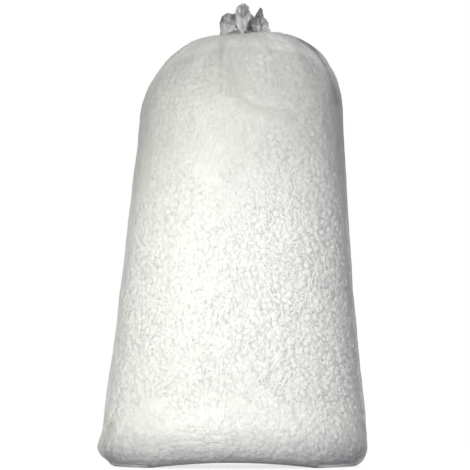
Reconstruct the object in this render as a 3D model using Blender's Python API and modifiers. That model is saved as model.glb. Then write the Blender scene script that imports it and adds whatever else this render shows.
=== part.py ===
"""A clear polythene sack of S-shaped foam packing chips, standing on its sealed bottom and
knotted at the neck in its own film.

Metres, +Z up, the front faces -Y. The origin is on the floor, under the middle of the base.
The film is one thin-walled sack, open only at its gathered mouth above the knot. The fill is
one body of chips with a rubbled surface, and loose chips lie on its crown under the film.
"""

import math
import random

import bpy
from mathutils import Matrix, Vector

# The sack's outline, as it stands
CORNER_WIDTH = 0.848  # across the body at the height of the bottom corners
SHOULDER_WIDTH = 0.650
BODY_DEPTH = 0.480  # front to back, just above the rounded base
SHOULDER_DEPTH = 0.570
FOOT_WIDTH = 0.750  # the part of the base that meets the floor
FOOT_DEPTH = 0.340
CORNER_HEIGHT = 0.061
ROUNDING_HEIGHT = 0.170  # where the front and back leave the base's rounding
SHOULDER_HEIGHT = 1.107
DOME_HEIGHT = 0.283  # from the shoulders to the foot of the neck
WAIST_HOLLOW = 0.004  # how far each side falls inside a straight taper
BASE_FULLNESS = 0.005  # how far each side swells out of it just above the base
BASE_SHIFT = 0.006  # sideways place of the section's middle at the base
SHOULDER_SHIFT = 0.029
NECK_SHIFT = 0.040
LEAN_BOW = 0.003  # how far the lean sags to the left on its way up
ARCH_HEIGHT = 0.018  # lift of the sealed bottom between its two ends
ARCH_HALF_SPAN = 0.260
RIGHT_EAR, LEFT_EAR = 0.002, 0.014  # how far the bottom seal's pinched corners stand out

LEFT_SINK = 0.015  # how much lower the dome's left side is than its right

# Exponents that give a section its outline: see section_depth and dome_share
RIGHT_DOME_POWER, LEFT_DOME_POWER, LEFT_ROOF_POWER = 0.66, 0.98, 0.58
LENS_POWER, ROUND_POWER = 0.70, 0.50
BOX_POWER, CIRCLE_POWER = 2.5, 2.0
LENS_TOP = 0.350  # above this height the section has left the seal's lens form

# Film, neck, knot and gathered mouth
FILM = 0.0004
NECK_RADIUS = 0.024
NECK_RISE = 0.022  # height of the tied neck
PLEATS = 14
PLEAT_START = 0.060  # height above the shoulders where the pleats begin
DOME_PLEAT = 0.12  # depth of a pleat, of the radius, where the dome reaches the neck
NECK_PLEAT = 0.30
MOUTH_PLEAT = 0.26
PLEAT_SPREAD = 0.45  # how much one pleat's depth differs from the next one's
# The bunched foot of the neck and the knot above it: heights as shares of its rise, and sizes
# as shares of its radius
KNOT_RINGS = ((0.0, 2.2), (0.22, 1.4), (0.42, 0.85), (0.62, 1.45), (0.85, 1.40), (1.0, 1.0))
KNOT_TWIST = 1  # columns that the folds turn from one ring of the knot to the next
MOUTH_CRUMPLE = 0.005
# Lobes of the mouth: direction and spread in degrees, then the edge's height above the neck,
# how far the film billows above that on its way, and the edge's reach from the neck's middle
MOUTH_LOBES = (
    (180, 30, -0.021, 0.048, 0.084),
    (226, 11, -0.004, 0.010, 0.042),
    (262, 20, -0.025, 0.030, 0.098),
    (298, 11, -0.004, 0.010, 0.042),
    (326, 18, -0.018, 0.034, 0.090),
    (356, 13, 0.054, 0.004, 0.054),
    (36, 22, -0.016, 0.028, 0.090),
    (98, 40, 0.070, 0.000, 0.034),
)

# The chips
CHIP_WALL = 0.006
CHIP_CURL = 0.006  # radius of the S's centre line
CHIP_DEPTH = 0.018  # cut length
CHIP_ARC_STEPS = 5
LOOSE_CHIPS = 14
CHIP_SPREAD = 0.0215  # spiral pitch of the loose chips on the crown
HEADSPACE = 0.070  # from the top of the fill to the top of the film's dome

# Fits
SEAT_GAP = 0.0003
RELIEF_NEAR, RELIEF_FAR = 0.003, 0.016  # how deep the heap's hills and hollows lie under the film
RELIEF_SPREAD = 0.004
RELIEF_CHANCE = 0.15  # share of the hills that are hollows, and of the hollows that are hills
RELIEF_PITCH = 0.037
RELIEF_SHIFT = 0.28  # of one cell

# Facets
COLUMNS = 4 * PLEATS
BASE_RINGS = (0.40, 0.80, 1.0)
ROUNDING_RINGS = (0.25, 0.65, 1.0, 1.9)  # heights, in corner heights
BODY_ROWS = 4
DOME_ANGLES = (16, 32, 48, 62, 75, 86)
CROWN_RINGS = 5
MOUTH_RINGS = 5
CREASE_ANGLE = math.radians(40)
SEED = 11

DOME_TOP = SHOULDER_HEIGHT + DOME_HEIGHT
NECK_TOP = DOME_TOP + NECK_RISE
FILL_TOP = DOME_TOP - HEADSPACE
CHIP_LENGTH = 4 * CHIP_CURL + CHIP_WALL
CROWN_RADIUS = CHIP_SPREAD * math.sqrt(LOOSE_CHIPS) + math.hypot(CHIP_LENGTH, CHIP_DEPTH) / 2


def blend(low, high, share):
    return low + (high - low) * share


def clamp(share):
    return min(max(share, 0.0), 1.0)


def smooth(share):
    share = clamp(share)
    return share * share * (3 - 2 * share)


def quarter(share):
    """Rises from 0 to 1 as a quarter of a circle does, upright at first."""
    return math.sqrt(1 - (1 - clamp(share)) ** 2)


def right_share(column):
    """From 0 on the sack's left to 1 on its right."""
    return (1 + math.cos(column_angle(column))) / 2


def dome_share(angle, column):
    """The dome's size as a share of the shoulders' at this angle up it. Its right side is
    square, and its left round with a flatter roof."""
    left = blend(LEFT_DOME_POWER, LEFT_ROOF_POWER, math.sin(angle) ** 2)
    return math.cos(angle) ** blend(left, RIGHT_DOME_POWER, right_share(column))


def body_share(z):
    return clamp((z - CORNER_HEIGHT) / (SHOULDER_HEIGHT - CORNER_HEIGHT))


def half_width(z):
    if z < CORNER_HEIGHT:
        return blend(FOOT_WIDTH, CORNER_WIDTH, quarter(z / CORNER_HEIGHT)) / 2
    share = body_share(z)
    straight = blend(CORNER_WIDTH, SHOULDER_WIDTH, share) / 2
    low = clamp((z - CORNER_HEIGHT) / (LENS_TOP - CORNER_HEIGHT))
    straight += BASE_FULLNESS * math.sin(math.pi * low)
    return straight - WAIST_HOLLOW * math.sin(math.pi * share)


def half_depth(z):
    if z < ROUNDING_HEIGHT:
        return blend(FOOT_DEPTH, BODY_DEPTH, quarter(z / ROUNDING_HEIGHT)) / 2
    share = clamp((z - ROUNDING_HEIGHT) / (SHOULDER_HEIGHT - ROUNDING_HEIGHT))
    return blend(BODY_DEPTH, SHOULDER_DEPTH, share) / 2


def centre(z):
    """Sideways place of the section's middle: it leans up the body and then to the neck."""
    if z <= SHOULDER_HEIGHT:
        share = body_share(z)
        return blend(BASE_SHIFT, SHOULDER_SHIFT, share) - LEAN_BOW * math.sin(math.pi * share)
    return blend(SHOULDER_SHIFT, NECK_SHIFT, smooth((z - SHOULDER_HEIGHT) / DOME_HEIGHT))


def section_depth(z, angle):
    """Share of the half depth at this angle. Near the seal the section is a lens with sharp
    ends, in the body a rounded box, and at the neck a circle."""
    ends = blend(LENS_POWER, ROUND_POWER, smooth(z / LENS_TOP))
    sides = blend(BOX_POWER, CIRCLE_POWER, smooth((z - SHOULDER_HEIGHT) / DOME_HEIGHT))
    size = (1 - min(abs(math.cos(angle)), 1.0) ** sides) ** ends
    return math.copysign(size, math.sin(angle))


def column_angle(column):
    return 2 * math.pi * column / COLUMNS


def section(z, width, depth, radial=None):
    """One ring of the sack at height z, as points."""
    ring = []
    for column in range(COLUMNS):
        angle = column_angle(column)
        scale = radial[column] if radial else 1.0
        x = centre(z) + width * scale * math.cos(angle)
        ring.append(Vector((x, depth * scale * section_depth(z, angle), z)))
    return ring


def shoulder_section(z, radial):
    """A ring of the dome, with each column a share of the shoulders' size."""
    ring = section(z, SHOULDER_WIDTH / 2, SHOULDER_DEPTH / 2, radial)
    for column, point in enumerate(ring):
        point.z -= LEFT_SINK * (1 - right_share(column)) * (z - SHOULDER_HEIGHT) / DOME_HEIGHT
    return ring


def arch(x):
    """Height of the sealed bottom over the floor."""
    reach = min(abs(x) / ARCH_HALF_SPAN, 1.0)
    return ARCH_HEIGHT * (1 - reach * reach)


def base_rings(lift):
    """The rings of the base from the middle outwards, raised off the floor by lift."""
    rings = []
    for scale in BASE_RINGS:
        ring = section(0.0, FOOT_WIDTH / 2 * scale, FOOT_DEPTH / 2 * scale)
        rings.append([Vector((p.x, p.y, arch(p.x) + lift)) for p in ring])
    return rings


def rounding_heights():
    return [CORNER_HEIGHT * share for share in ROUNDING_RINGS] + [ROUNDING_HEIGHT]


def lift_for_arch(ring, top):
    """A ring of the rounding follows the arch under it, less and less towards the top."""
    for point in ring:
        point.z += arch(point.x) * (1 - smooth(point.z / top))


def pinch_ears(ring):
    """Pulls the two ends of a ring out into the pinched corners of the bottom seal."""
    height = ring[0].z
    share = 1 - abs(height - CORNER_HEIGHT) / CORNER_HEIGHT
    if share > 0:
        ring[0].x += RIGHT_EAR * share
        ring[COLUMNS // 2].x -= LEFT_EAR * share


def pleat_scales(depth, folds):
    """How far each column is drawn in where the film gathers, with this depth for a middling
    pleat. The folds hold each pleat's own share of it."""
    scales = []
    for fold in folds:
        scales += [1.0, 1 - depth * fold / 2, 1 - depth * fold, 1 - depth * fold / 2]
    return scales


def mouth_lobe(angle):
    """Height, billow and reach of the mouth's edge in this direction, between the lobes'."""
    total = 0.0
    sums = [0.0, 0.0, 0.0]
    for direction, spread, *sizes in MOUTH_LOBES:
        turn = (math.degrees(angle) - direction + 180) % 360 - 180
        weight = 1 / (1 + (turn / spread) ** 4)
        total += weight
        sums = [so_far + weight * size for so_far, size in zip(sums, sizes)]
    return [amount / total for amount in sums]


def mouth_ring(share, folds, rng):
    """One ring of the gathered mouth, this share of the way from the neck to its edge."""
    ring = []
    scales = pleat_scales(blend(NECK_PLEAT, MOUTH_PLEAT, share), folds)
    for column in range(COLUMNS):
        angle = column_angle(column)
        height, billow, reach = mouth_lobe(angle)
        radius = blend(NECK_RADIUS, reach, math.sin(share * math.pi / 2)) * scales[column]
        rise = height * share + 4 * billow * share * (1 - share)
        crumple = MOUTH_CRUMPLE * share * rng.uniform(-1, 1)
        x = NECK_SHIFT + radius * math.cos(angle)
        ring.append(Vector((x, radius * math.sin(angle), NECK_TOP + rise + crumple)))
    return ring


def body_rings():
    """The rings from the top of the base's rounding up to the shoulders."""
    heights = [blend(ROUNDING_HEIGHT, SHOULDER_HEIGHT, row / BODY_ROWS) for row in range(BODY_ROWS + 1)]
    return [section(z, half_width(z), half_depth(z)) for z in heights]


def film_rings():
    rng = random.Random(SEED)
    folds = [rng.uniform(1 - PLEAT_SPREAD, 1 + PLEAT_SPREAD) for _ in range(PLEATS)]
    rings = base_rings(0.0)
    for z in rounding_heights():
        ring = section(z, half_width(z), half_depth(z))
        pinch_ears(ring)
        lift_for_arch(ring, ROUNDING_HEIGHT)
        rings.append(ring)
    rings += body_rings()[1:]
    for degrees in DOME_ANGLES:
        angle = math.radians(degrees)
        rise = DOME_HEIGHT * math.sin(angle)
        pleat = DOME_PLEAT * smooth((rise - PLEAT_START) / (DOME_HEIGHT - PLEAT_START))
        scales = pleat_scales(pleat, folds)
        scales = [scale * dome_share(angle, column) for column, scale in enumerate(scales)]
        rings.append(shoulder_section(SHOULDER_HEIGHT + rise, scales))
    for turn, (rise, size) in enumerate(KNOT_RINGS, 1 - len(KNOT_RINGS)):
        radius = NECK_RADIUS * size
        scales = pleat_scales(NECK_PLEAT, folds)
        scales = scales[turn * KNOT_TWIST:] + scales[:turn * KNOT_TWIST]
        rings.append(section(DOME_TOP + NECK_RISE * rise, radius, radius, scales))
    rings += [mouth_ring(row / MOUTH_RINGS, folds, rng) for row in range(1, MOUTH_RINGS + 1)]
    return rings


def on_ring(ring, column):
    """The point of a ring at this column, which may lie between two."""
    first = math.floor(column)
    return ring[first % COLUMNS].lerp(ring[(first + 1) % COLUMNS], column - first)


def on_body(body, row, column):
    """The point of the body's film at this row and column, which may lie between two."""
    first = min(math.floor(row), BODY_ROWS - 1)
    low, high = (on_ring(ring, column) for ring in body[first:first + 2])
    return low.lerp(high, row - first)


def relief(place, rng):
    """Depth of a point of the heap under the film. Hills and hollows mostly take turns."""
    if rng.random() < RELIEF_CHANCE:
        place += 1
    return (RELIEF_NEAR, RELIEF_FAR)[place % 2] + rng.uniform(0, RELIEF_SPREAD)


def rubbled(body, row, cell, rng):
    """A ring of the fill with each point pushed in and aside, as the chips' faces lie."""
    ring = []
    for column in range(COLUMNS):
        shift = rng.uniform(-RELIEF_SHIFT, RELIEF_SHIFT)
        height = cell * (row + rng.uniform(-RELIEF_SHIFT, RELIEF_SHIFT))
        point = on_body(body, height, column + shift)
        x = (centre(point.z) - point.x) / half_width(point.z) ** 2
        inwards = Vector((x, -point.y / half_depth(point.z) ** 2, 0)).normalized()
        ring.append(point + inwards * relief(row + column, rng))
    return ring


def crown_rings(rng):
    """The fill's heap from the shoulders up to the flat crown that carries the loose chips."""
    edge = math.acos((CROWN_RADIUS / (SHOULDER_DEPTH / 2)) ** (1 / LEFT_DOME_POWER))
    rise = (FILL_TOP - SHOULDER_HEIGHT) / math.sin(edge)
    rings = []
    for row in range(CROWN_RINGS):
        angle = edge * row / CROWN_RINGS
        depths = [relief(row + column, rng) / (SHOULDER_DEPTH / 2) for column in range(COLUMNS)]
        scales = [dome_share(angle, column) - depth for column, depth in enumerate(depths)]
        rings.append(shoulder_section(SHOULDER_HEIGHT + rise * math.sin(angle), scales))
    rings.append(section(FILL_TOP, CROWN_RADIUS, CROWN_RADIUS))
    return rings


def fill_rings():
    rng = random.Random(SEED + 1)
    lift = FILM + SEAT_GAP
    rings = base_rings(lift)
    for z in rounding_heights():
        ring = section(z, half_width(z) - RELIEF_NEAR, half_depth(z) - RELIEF_NEAR)
        lift_for_arch(ring, ROUNDING_HEIGHT)
        for point in ring:
            point.z += lift
        rings.append(ring)
    rows = max(round((SHOULDER_HEIGHT - ROUNDING_HEIGHT) / RELIEF_PITCH), 2)
    cell = BODY_ROWS / rows
    body = body_rings()
    rings += [rubbled(body, row, cell, rng) for row in range(1, rows)]
    return rings + crown_rings(rng)


def loft(rings):
    """Points and faces through the rings, closed underneath by a point."""
    foot = sum(rings[0], Vector()) / COLUMNS
    foot.z = rings[0][COLUMNS // 4].z
    points = [p for ring in rings for p in ring] + [foot]
    pole = len(points) - 1
    faces = [(pole, (column + 1) % COLUMNS, column) for column in range(COLUMNS)]
    for row in range(len(rings) - 1):
        low, high = row * COLUMNS, (row + 1) * COLUMNS
        for column in range(COLUMNS):
            after = (column + 1) % COLUMNS
            faces.append((low + column, low + after, high + after, high + column))
    return points, faces


def lumped(quads, points):
    """Parts each quad along the diagonal that lies deeper, so that each hill stands alone."""
    triangles = []
    for a, b, c, d in quads:
        if points[a].xy.length + points[c].xy.length < points[b].xy.length + points[d].xy.length:
            triangles += [(a, b, c), (a, c, d)]
        else:
            triangles += [(a, b, d), (b, c, d)]
    return triangles


def material(name, colour, roughness, alpha=1.0):
    made = bpy.data.materials.new(name)
    made.use_nodes = True
    shader = made.node_tree.nodes["Principled BSDF"]
    shader.inputs["Base Color"].default_value = (*colour, 1.0)
    shader.inputs["Roughness"].default_value = roughness
    shader.inputs["Metallic"].default_value = 0.0
    shader.inputs["Alpha"].default_value = alpha
    return made


def add_object(name, mesh, collection, root, finish=None):
    made = bpy.data.objects.new(name, mesh)
    collection.objects.link(made)
    made.parent = root
    if finish and not mesh.materials:
        mesh.materials.append(finish)
    return made


def add_collection(name):
    made = bpy.data.collections.new(name)
    bpy.context.scene.collection.children.link(made)
    return made


def film_bag(parts, root, finish):
    points, faces = loft(film_rings())
    mesh = bpy.data.meshes.new("film_bag")
    mesh.from_pydata(points, [], faces)
    mesh.shade_smooth()
    mesh.set_sharp_from_angle(angle=CREASE_ANGLE)
    bag = add_object("film_bag", mesh, parts, root, finish)
    wall = bag.modifiers.new("film wall", "SOLIDIFY")
    wall.thickness = FILM
    wall.offset = -1.0


def peanut_fill(parts, root, finish):
    """The heap: smooth where it rests in the base's rounding, lumpy above, flat on top."""
    rings = fill_rings()
    points, faces = loft(rings)
    smooth_faces = COLUMNS * (len(BASE_RINGS) + len(rounding_heights()))
    top = [(len(rings) - 1) * COLUMNS + column for column in range(COLUMNS)]
    faces = [*faces[:smooth_faces], *lumped(faces[smooth_faces:], points), top]
    mesh = bpy.data.meshes.new("peanut_fill")
    mesh.from_pydata(points, [], faces)
    add_object("peanut_fill", mesh, parts, root, finish)


def chip_mesh():
    """The S of one chip as an open ribbon along its centre line, standing on its cut end."""
    steps = range(CHIP_ARC_STEPS + 1)
    turns = [math.radians(270 * step / CHIP_ARC_STEPS) for step in steps]
    upper = [(CHIP_CURL * math.cos(a), CHIP_CURL * (1 + math.sin(a))) for a in turns]
    line = upper + [(-x, -y) for x, y in reversed(upper[:-1])]
    half = CHIP_DEPTH / 2
    points = [(x, y, z) for x, y in line for z in (-half, half)]
    faces = [(2 * i, 2 * i + 2, 2 * i + 3, 2 * i + 1) for i in range(len(line) - 1)]
    mesh = bpy.data.meshes.new("loose_peanut")
    mesh.from_pydata(points, [], faces)
    return mesh


def lowest(obj):
    bpy.context.view_layer.update()
    shape = obj.evaluated_get(bpy.context.evaluated_depsgraph_get())
    return min((shape.matrix_world @ vertex.co).z for vertex in shape.data.vertices)


def loose_peanuts(parts, root, finish):
    """Chips on the flat crown, in a sunflower spiral, every other one on its side."""
    rng = random.Random(SEED + 2)
    mesh = chip_mesh()
    golden = math.pi * (3 - math.sqrt(5))
    for index in range(LOOSE_CHIPS):
        chip = add_object(f"loose_peanut_{index + 1:02d}", mesh, parts, root, finish)
        wall = chip.modifiers.new("chip wall", "SOLIDIFY")
        wall.thickness = CHIP_WALL
        wall.offset = 0.0
        reach = CHIP_SPREAD * math.sqrt(index + 0.5)
        x = centre(FILL_TOP) + reach * math.cos(golden * index)
        on_side = Matrix.Rotation(math.pi / 2 * (index % 2), 4, "Y")
        yaw = Matrix.Rotation(rng.uniform(0, 2 * math.pi), 4, "Z")
        place = Matrix.Translation((x, reach * math.sin(golden * index), FILL_TOP))
        chip.matrix_world = place @ yaw @ on_side
        chip.location.z += FILL_TOP + SEAT_GAP - lowest(chip)


def main():
    for obj in list(bpy.data.objects):
        bpy.data.objects.remove(obj)
    parts = add_collection("packing_peanut_bag")
    root = bpy.data.objects.new("bag_root", None)
    parts.objects.link(root)
    film = material("clear_film", (0.90, 0.91, 0.92), 0.18, alpha=0.28)
    foam = material("white_foam", (0.93, 0.93, 0.90), 0.75)
    film_bag(parts, root, film)
    peanut_fill(parts, root, foam)
    loose_peanuts(parts, root, foam)


main()
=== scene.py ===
"""The dressed sack: thousands of curled foam chips pressed against clear, faintly hazy film.

Metres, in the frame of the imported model: +Z up, the photographed face looks along -Y. The
film is built again from the sack's own formulas with fine folds, and the chips are laid over
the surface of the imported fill.
"""

import itertools
import math

import bpy
import numpy as np
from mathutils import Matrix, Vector, noise
from mathutils.bvhtree import BVHTree


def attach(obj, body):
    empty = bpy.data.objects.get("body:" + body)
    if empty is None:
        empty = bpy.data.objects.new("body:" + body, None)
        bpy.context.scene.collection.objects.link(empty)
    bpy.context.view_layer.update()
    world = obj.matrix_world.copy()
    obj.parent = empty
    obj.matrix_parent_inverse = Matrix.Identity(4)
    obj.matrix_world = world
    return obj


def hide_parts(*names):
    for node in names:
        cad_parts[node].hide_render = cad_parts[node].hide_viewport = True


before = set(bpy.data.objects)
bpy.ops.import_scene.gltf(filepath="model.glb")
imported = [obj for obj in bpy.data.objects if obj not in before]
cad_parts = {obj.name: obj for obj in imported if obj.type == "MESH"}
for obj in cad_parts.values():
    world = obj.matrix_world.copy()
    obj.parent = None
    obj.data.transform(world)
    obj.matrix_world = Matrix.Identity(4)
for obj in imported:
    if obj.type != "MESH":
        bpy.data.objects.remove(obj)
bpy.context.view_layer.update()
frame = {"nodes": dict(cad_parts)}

# The sack's outline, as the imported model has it
CORNER_WIDTH = 0.848
SHOULDER_WIDTH = 0.650
BODY_DEPTH = 0.480
SHOULDER_DEPTH = 0.570
FOOT_WIDTH = 0.750
FOOT_DEPTH = 0.340
CORNER_HEIGHT = 0.061
ROUNDING_HEIGHT = 0.170
SHOULDER_HEIGHT = 1.107
DOME_HEIGHT = 0.283
WAIST_HOLLOW = 0.004
BASE_FULLNESS = 0.005
BASE_SHIFT = 0.006
SHOULDER_SHIFT = 0.029
NECK_SHIFT = 0.040
LEAN_BOW = 0.003
ARCH_HEIGHT = 0.018
ARCH_HALF_SPAN = 0.260
RIGHT_EAR, LEFT_EAR = 0.002, 0.014
EAR_SPREAD = 0.030  # how far from the corner the film is still drawn out into it
EAR_NOTCH = 0.008  # how far the left corner's lower edge is cut back under its tip
NOTCH_HEIGHT, NOTCH_SPREAD = 0.018, 0.012
LEFT_SINK = 0.015
RIGHT_DOME_POWER, LEFT_DOME_POWER, LEFT_ROOF_POWER = 0.66, 0.98, 0.58
LENS_POWER, ROUND_POWER = 0.70, 0.50
BOX_POWER, CIRCLE_POWER = 2.5, 2.0
LENS_TOP = 0.350

# The gathered top
NECK_RADIUS = 0.024
NECK_RISE = 0.022
HEM_DROP = 0.004  # the mouth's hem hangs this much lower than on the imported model, onto the dome
DOME_END = 86  # degrees up the dome's curve where the neck begins
PLEATS = 14
FRONT_SMOOTH = 0.4  # the dome's front has this much less of the pleats, and its own creases instead
PLEAT_START = 0.060
DOME_PLEAT = 0.09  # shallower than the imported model's, because finer creases take its place
NECK_PLEAT = 0.30
MOUTH_PLEAT = 0.26
PLEAT_SPREAD = 0.45
FINE_PLEAT = 0.25  # of a pleat's depth, in three finer folds across it
# How far up the knot, and how wide it is there against the neck
KNOT_RINGS = ((0.0, 2.2), (0.22, 1.4), (0.42, 0.85), (0.62, 1.45), (0.85, 1.40), (1.0, 1.0))
# The mouth's lobes: direction and spread in degrees, then height, billow and reach
MOUTH_LOBES = (
    (180, 30, -0.012, 0.044, 0.084),
    (226, 11, -0.004, 0.010, 0.042),
    (265, 17, -0.039, 0.032, 0.108),
    (298, 11, -0.004, 0.010, 0.042),
    (326, 18, -0.018, 0.034, 0.090),
    (356, 15, 0.034, 0.002, 0.054),
    (36, 22, -0.016, 0.028, 0.090),
    (98, 40, 0.074, 0.000, 0.034),
)
FLAP = 2  # which lobe hangs over the knot in front
FLAP_POINT = 0.060  # how much its sides are cut back to bring it to a point
# The folded spike on the right: its foot and tip, then its half width and half thickness
SPIKE_FOOT, SPIKE_TIP = (0.079, -0.006, 1.408), (0.091, -0.006, 1.468)
SPIKE_WIDE, SPIKE_THICK = 0.024, 0.006
SPIKE_FOLD = 0.35  # of its thickness, in three folds
SPIKE_ROWS, SPIKE_COLUMNS = 14, 24
FLAP_SMOOTH = 0.6  # the flap has this much less of the pleats
HEM_ROLL = 0.006
HEM_EASE = 0.008  # the hem's drop grows in over this much droop
DROOP_START, DROOP_EASE = 0.002, 0.012  # from which droop on a lobe's film runs to the dome
RIGHT_FOOT = 0.12  # how much wider the gathered film's foot is on the right
# Painted shade on the crumpled film by its direction in degrees: the flap in front is pale
TUFT_TURNS = (0, 30, 60, 98, 140, 180, 215, 238, 262, 286, 305, 326, 345, 360)
TUFT_DARKS = (0.80, 0.80, 0.75, 0.70, 0.75, 0.95, 0.90, 0.60, 0.05, 0.60, 0.75, 0.70, 0.80, 0.80)
# Painted shade on the spike, under the lobes, beside the flap and on the knot
SPIKE_DARK = 1.0
TUCK_DARK, HOLLOW_DARK = 0.15, 0.95  # painted shade under the lobes at the sides, and painted shadow in the hollows beside the flap
KNOT_DARK = 0.50
HEM_PALE, HEM_START, HEM_EDGE = 0.6, 0.90, 0.08  # the paler hem, with less painted shade, in shares of the way up the mouth

# Where the film stands off the chips and clouds them, greyer partly as painted shade, each a run of
# places in x and z, then its width and how much it clouds. The last ones clear the film into painted
# highlights along the wrinkles' ridges.
PATCHES = (
    (((-0.034, 1.375), (-0.030, 1.27), (-0.016, 1.18)), 0.024, 0.75),
    (((0.004, 1.265), (0.016, 1.19), (0.050, 1.14), (0.12, 1.105), (0.18, 1.10)), 0.022, 0.70),
    (((0.030, 1.215), (0.060, 1.18)), 0.032, 0.35),
    (((0.160, 1.21), (0.240, 1.20)), 0.050, 0.45),
    (((-0.010, 1.365), (0.110, 1.355), (0.190, 1.345)), 0.045, 0.35),
    (((-0.080, 1.345), (-0.170, 1.31)), 0.045, 0.40),
    (((-0.190, 1.315), (-0.250, 1.24), (-0.285, 1.14)), 0.022, 0.50),
    (((-0.385, 0.14), (-0.425, 0.06), (-0.380, 0.02)), 0.016, 0.60),
    (((0.082, 1.293), (0.146, 1.328)), 0.007, -0.80),
    (((0.091, 1.274), (0.155, 1.302)), 0.007, -0.80),
    (((0.053, 1.342), (0.100, 1.318), (0.150, 1.324)), 0.006, -0.80),
    (((-0.011, 1.358), (0.010, 1.345), (0.034, 1.338)), 0.006, -0.80),
)
# Painted shade where the film over the right shoulder is greyer, written the same way
PAINTED_SHADE_LINES = (
    (((0.218, 1.352), (0.262, 1.330)), 0.014, 0.50),
    (((0.150, 1.388), (0.240, 1.356), (0.280, 1.305), (0.318, 1.235), (0.330, 1.160)), 0.015, 0.40),
)
LEFT_SHADE, RIGHT_SHADE, UNDER_SHADE = 0.22, 0.42, 0.62  # how much painted shade the film has at the sides and underneath
SIDE_LOW, SIDE_EASE = 0.02, 0.08  # the sides' painted shade grows in over these heights
UNDER_LOW, UNDER_EASE = 0.01, 0.14  # and the painted shade underneath fades out over these
SHADE_FALL = 9  # how fast the sides' painted shade fades where the film turns to the front
HAZE_FOOT, HAZE_TOP, HAZE_AMOUNT = 0.70, 1.12, 0.50  # the whole dome clouds over, from here up, greyer in part as painted shade

SIDE_FADE = 0.03  # front and back lines fade out this near the sack's two sides

# Creases of the front, each a run of places in x and z, then its height and its width
CREASES = (
    (((-0.043, 1.363), (-0.042, 1.267), (-0.040, 1.181)), -0.0036, 0.006),
    (((-0.020, 1.380), (-0.022, 1.28), (-0.016, 1.16)), 0.0036, 0.012),
    (
        ((0.004, 1.340), (0.004, 1.264), (0.026, 1.173), (0.081, 1.132), (0.182, 1.127)),
        -0.0030,
        0.011,
    ),
    (((0.165, 1.380), (0.168, 1.341)), -0.0026, 0.004),
    (((0.070, 1.370), (0.130, 1.352), (0.210, 1.345)), -0.0020, 0.006),
    (((0.090, 1.380), (0.180, 1.362), (0.270, 1.320)), 0.0024, 0.009),
    (((0.082, 1.293), (0.146, 1.328)), 0.0036, 0.0045),
    (((0.091, 1.274), (0.155, 1.302)), 0.0036, 0.0045),
    (((0.053, 1.342), (0.100, 1.318), (0.150, 1.324)), 0.0034, 0.004),
    (((0.070, 1.352), (0.120, 1.300)), 0.0022, 0.004),
    (((0.046, 1.300), (0.085, 1.345)), 0.0022, 0.004),
    (((-0.011, 1.358), (0.010, 1.345), (0.034, 1.338)), 0.0034, 0.004),
    (((0.030, 1.354), (0.012, 1.326)), 0.0022, 0.004),
    (((-0.216, 1.280), (-0.240, 1.23), (-0.262, 1.165)), -0.0036, 0.005),
    (((-0.060, 1.372), (-0.130, 1.35), (-0.220, 1.28)), 0.0024, 0.010),
    (((-0.411, 0.109), (-0.360, 0.259)), 0.0030, 0.004),
    (((-0.405, 0.106), (-0.352, 0.240)), -0.0030, 0.004),
    (((-0.411, 0.115), (-0.341, 0.157)), 0.0026, 0.004),
    (((-0.414, 0.100), (-0.384, 0.092)), -0.0030, 0.005),
    (((-0.392, 0.083), (-0.390, 0.035)), -0.0040, 0.005),
)

# Creases that fan out from the neck at random
NECK_CREASES = 46
CREASE_DEPTH = 0.0018
CREASE_WIDTHS = (0.020, 0.06)  # radians round the sack
CREASE_STARTS = (0.25, 0.85)  # share of the way from below the shoulders to the neck
CREASE_LEAN = 0.35
CREASE_EASE = 0.2
CREASE_ROOM = 0.10  # how far below the shoulders they may reach

# Unevenness of the film, each as cells to a metre, its own seed and its height
SOFT_BUMPS = ((28.0, 1, 0.0012), (9.0, 2, 0.0022))
CRUMPLES = ((70.0, 3, 0.0045), (150.0, 4, 0.0018))
SPIKE_CRUMPLE = (110.0, 6, 0.002)
BUMPS_START = 0.05  # the height by which the soft bumps have grown in full
FLAP_CALM, FLAP_CALM_SPREAD = 0.6, 25  # the flap is this much less crumpled, within this many degrees

# Fineness of the film
COLUMNS = 320
BASE_ROWS, ROUNDING_ROWS, BODY_ROWS, DOME_ROWS = 8, 20, 60, 84
KNOT_ROWS, MOUTH_ROWS, TUCK_ROWS = 18, 36, 8
FOOT_CROWDING = 1.7  # how much closer the rows lie towards the floor

# The chips
CHIP_WALL = 0.0066
CHIP_CURL = 0.0062
CHIP_DEPTH = 0.020
CHIP_SPACING = 0.0178
UNDER_SPACING = 0.0220
UNDER_DEPTH = 0.007
CHIP_PROUD = 0.0020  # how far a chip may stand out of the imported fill's surface
FILM_ROOM = 0.004  # between film and chips where they lie nearest
BRIDGE = 0.65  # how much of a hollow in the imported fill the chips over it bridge
DEEPEST_BRIDGE = 0.022
CORE_DEPTH = 0.010
# Shares of the chips that show the film their cut face, their side and their end
LYING = (0.36, 0.50, 0.14)
TILT = 0.20
LOOSE_SHARE, LOOSE_TILT = 0.12, 1.0
EDGE_SINK, EDGE_HEIGHT = 0.008, 0.060  # chips along the sharp bottom edge lie deeper by this
FLOOR_ROOM = 0.001
CHIP_BANDS = 5
CHIP_STEPS, UNDER_STEPS = 5, 3  # lengths round each curl
KIND_SHARES = (0.42, 0.22, 0.20, 0.16)  # of the chips' shapes, as chip_shapes lists them
CHIP_SCALES = (0.86, 1.08)
CHIP_ROUGHNESS = 0.00025
CHIP_SINK = 0.003  # a chip may lie up to this much deeper
TRIES = 9  # places tried for each chip
AXIS_TOP = 1.39  # the sack's middle is looked up no higher than this
AXIS_LOW, AXIS_HIGH = 0.20, 1.15  # which part of it a chip faces away from
SEED = 5

# The picture's frame
PIXEL = 0.0032  # metres to a pixel at the sack's middle plane
PICTURE = 470
VIEW_CENTRE = Vector((0.008, 0.0, 0.739))
VIEW_DISTANCE = 10.0
CAMERA_HEIGHT = 0.45
SENSOR = 36.0

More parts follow.
